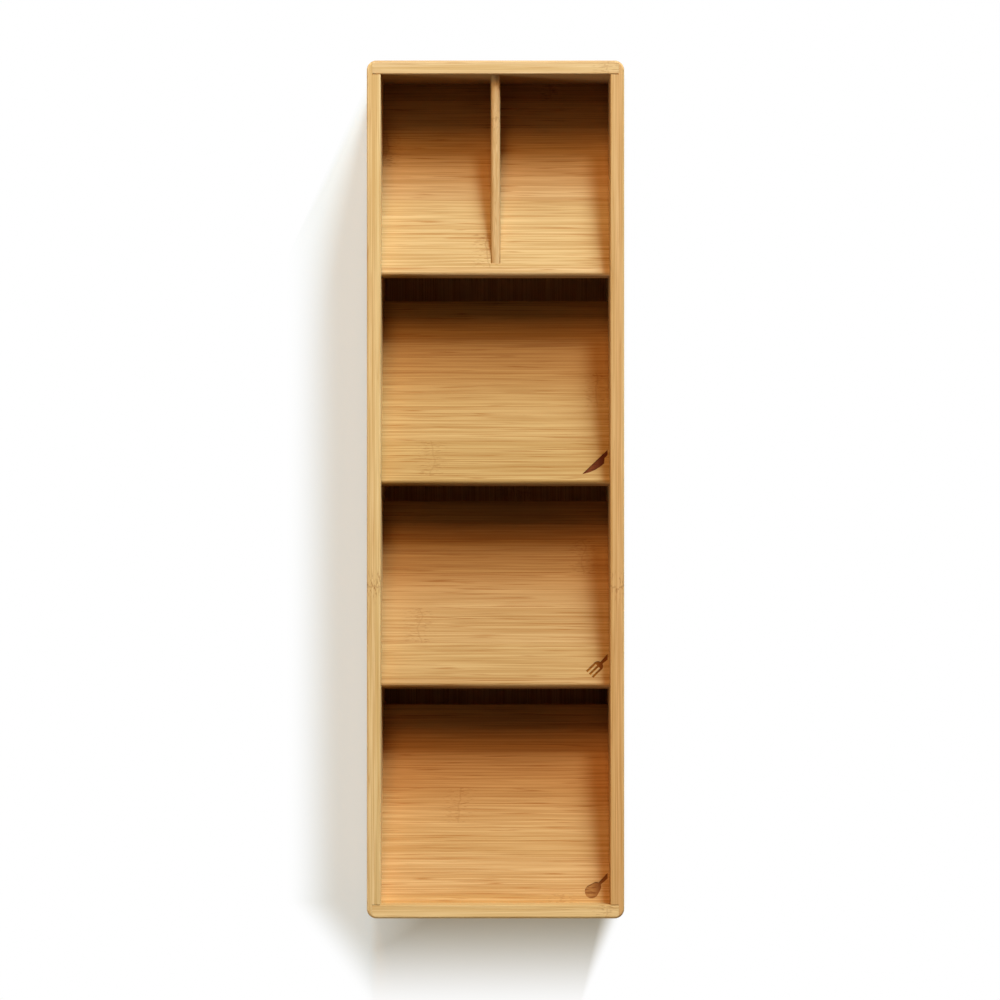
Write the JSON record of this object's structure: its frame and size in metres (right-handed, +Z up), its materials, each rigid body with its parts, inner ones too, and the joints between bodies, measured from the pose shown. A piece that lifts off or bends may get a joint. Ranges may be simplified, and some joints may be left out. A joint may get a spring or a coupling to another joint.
{
  "type": "cutlery tray",
  "caption": "Narrow bamboo drawer tray with overlapping sloping shelves that hold cutlery in tiers, and a divided back tier for teaspoons.",
  "frame": {"origin": "on the surface the feet stand on, under the middle of the tray", "axes": "+Z up, +Y from the front board to the back board with the teaspoon tier, +X to the right, on the side of the burnt marks"},
  "size_m": [0.12, 0.4, 0.065],
  "materials": {
    "bamboo_frame": "satin lacquer",
    "bamboo_shelf": "satin lacquer",
    "bamboo_base": "plain sanded",
    "foot_rubber": "matt"
  },
  "bodies": {
    "root": {"left_side_board": "bamboo_frame", "right_side_board": "bamboo_frame", "back_end_board": "bamboo_frame", "front_end_board": "bamboo_frame", "teaspoon_shelf": "bamboo_shelf", "knife_shelf": "bamboo_shelf", "fork_shelf": "bamboo_shelf", "spoon_shelf": "bamboo_shelf", "teaspoon_divider": "bamboo_shelf", "base_panel": "bamboo_base", "foot_front_left": "foot_rubber", "foot_front_right": "foot_rubber", "foot_back_left": "foot_rubber", "foot_back_right": "foot_rubber"}
  },
  "joints": []
}
